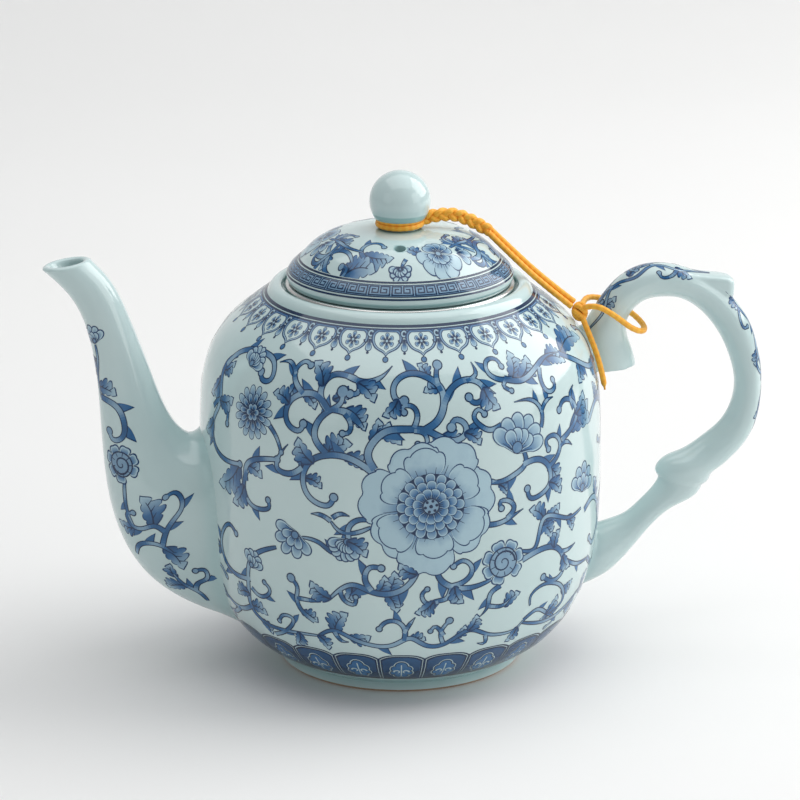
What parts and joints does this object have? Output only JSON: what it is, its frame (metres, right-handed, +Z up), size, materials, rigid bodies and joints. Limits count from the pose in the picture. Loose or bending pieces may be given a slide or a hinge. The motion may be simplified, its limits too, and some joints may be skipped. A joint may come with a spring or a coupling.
{
  "type": "porcelain teapot",
  "caption": "Round-shouldered porcelain teapot with a tall curved spout, looped handle, domed lid tied on by a cord, and a lift-out strainer basket.",
  "frame": {"origin": "centre of the foot ring, on the table", "axes": "+Z up, spout towards -X, handle towards +X"},
  "size_m": [0.2266, 0.1266, 0.1573],
  "materials": {
    "celadon_porcelain": "gloss celadon glaze with underglaze cobalt painting",
    "steel": "satin stainless",
    "cord": "braided golden cord"
  },
  "bodies": {
    "pot": {"pot_base": "celadon_porcelain", "pot_body": "celadon_porcelain", "pot_shoulder": "celadon_porcelain", "spout_root": "celadon_porcelain", "spout_neck": "celadon_porcelain", "spout_lip": "celadon_porcelain", "handle": "celadon_porcelain", "cord_handle_knot": "cord", "cord_handle_loop": "cord", "cord_tail": "cord"},
    "infuser": {"infuser_rim": "steel", "infuser_wall": "steel", "infuser_base": "steel"},
    "lid": {"lid": "celadon_porcelain", "lid_flange": "celadon_porcelain", "lid_knob": "celadon_porcelain", "cord_neck_wrap": "cord", "cord_braid": "cord", "cord_strand_a": "cord", "cord_strand_b": "cord"}
  },
  "joints": [
    {"name": "infuser_lift", "type": "slide", "parent": "pot", "child": "infuser", "axis": [0, 0, 1], "range_m": [0, 0.075]},
    {"name": "lid_lift", "type": "slide", "parent": "infuser", "child": "lid", "axis": [0, 0, 1], "range_m": [0, 0.04]}
  ]
}
